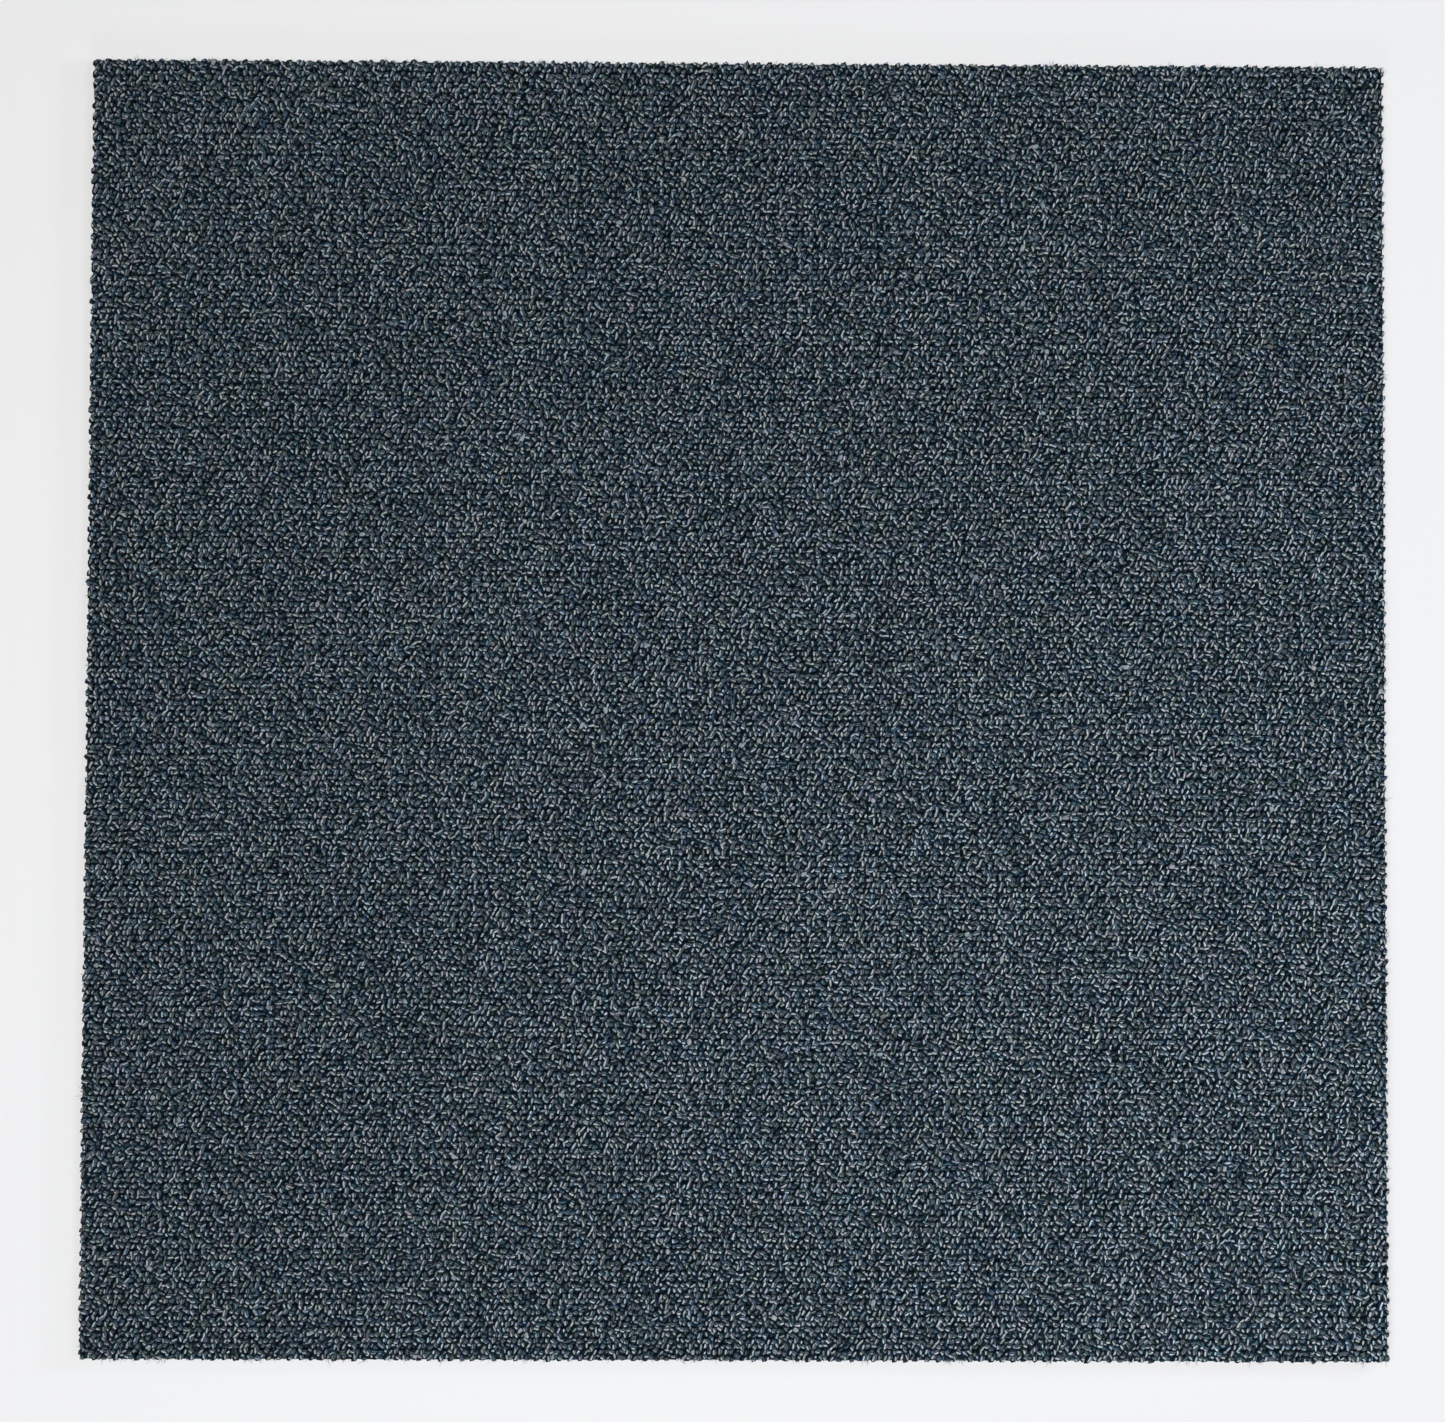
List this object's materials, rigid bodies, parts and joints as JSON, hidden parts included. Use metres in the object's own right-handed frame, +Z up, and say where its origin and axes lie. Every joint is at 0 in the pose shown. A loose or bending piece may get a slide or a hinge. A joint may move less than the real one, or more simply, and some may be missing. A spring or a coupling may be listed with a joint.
{
  "type": "carpet tile",
  "caption": "Square loop pile carpet tile with a heavy flat backing, laid loose or stuck down edge to edge as a floor covering.",
  "frame": {"origin": "centre of the underside, on the floor that the tile lies on", "axes": "+Z up out of the pile; +Y along the tufted rows, up in the picture; +X across the rows, right in the picture"},
  "size_m": [0.5, 0.5, 0.0065],
  "materials": {
    "loop_pile": "tufted loop pile in twisted, marled yarn: slate, navy and pale grey-green plies",
    "heavy_backing": "dark filled backing with a matt, finely embossed underside"
  },
  "bodies": {
    "root": {"carpet_tile": "loop_pile"}
  },
  "joints": []
}
